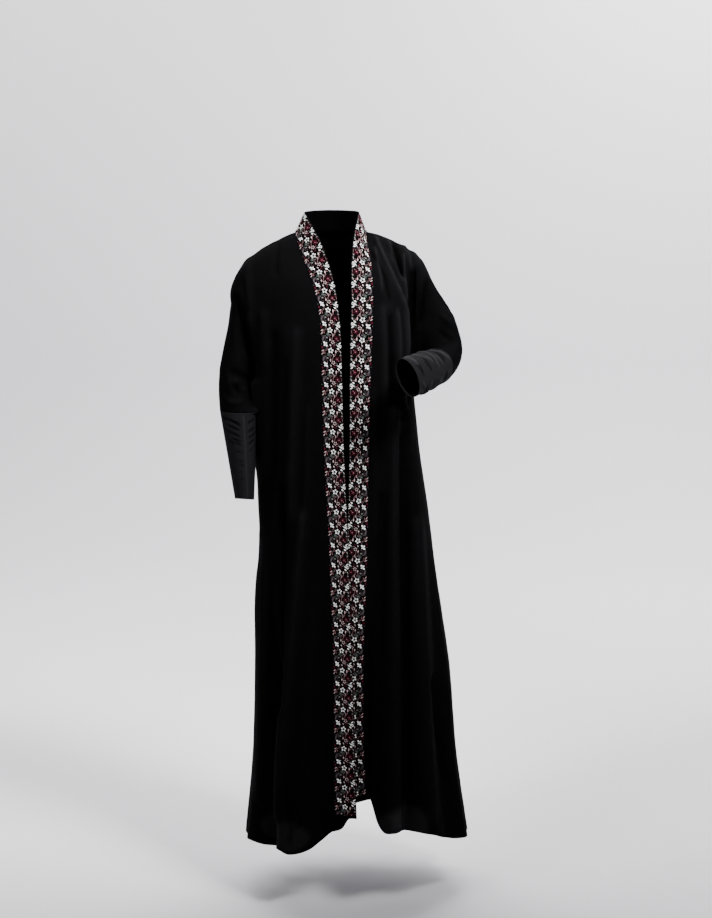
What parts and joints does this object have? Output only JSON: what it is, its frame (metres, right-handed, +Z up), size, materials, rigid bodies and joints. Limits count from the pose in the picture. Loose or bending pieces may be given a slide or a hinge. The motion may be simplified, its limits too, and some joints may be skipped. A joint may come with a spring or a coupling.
{
  "type": "abaya cloak",
  "caption": "Long black open-front abaya cloak, worn form, with cut-in-one sleeves, long charcoal jersey cuffs and floral trim bands round the neck and down both front edges.",
  "frame": {"origin": "centre of the neck, level with the shoulders, where the wearer carries the cloak", "axes": "+Z up along the body, -Y towards the open front, +X towards the wearer's left"},
  "size_m": [0.5796, 0.4866, 1.4731],
  "materials": {
    "black_crepe": "matt woven crepe",
    "charcoal_jersey": "matt knitted jersey",
    "floral_trim": "woven band with raised coloured embroidery"
  },
  "bodies": {
    "root": {"back": "black_crepe", "front_right": "black_crepe", "front_left": "black_crepe", "cuff_right": "charcoal_jersey", "cuff_left": "charcoal_jersey", "band_right": "floral_trim", "band_left": "floral_trim"}
  },
  "joints": []
}
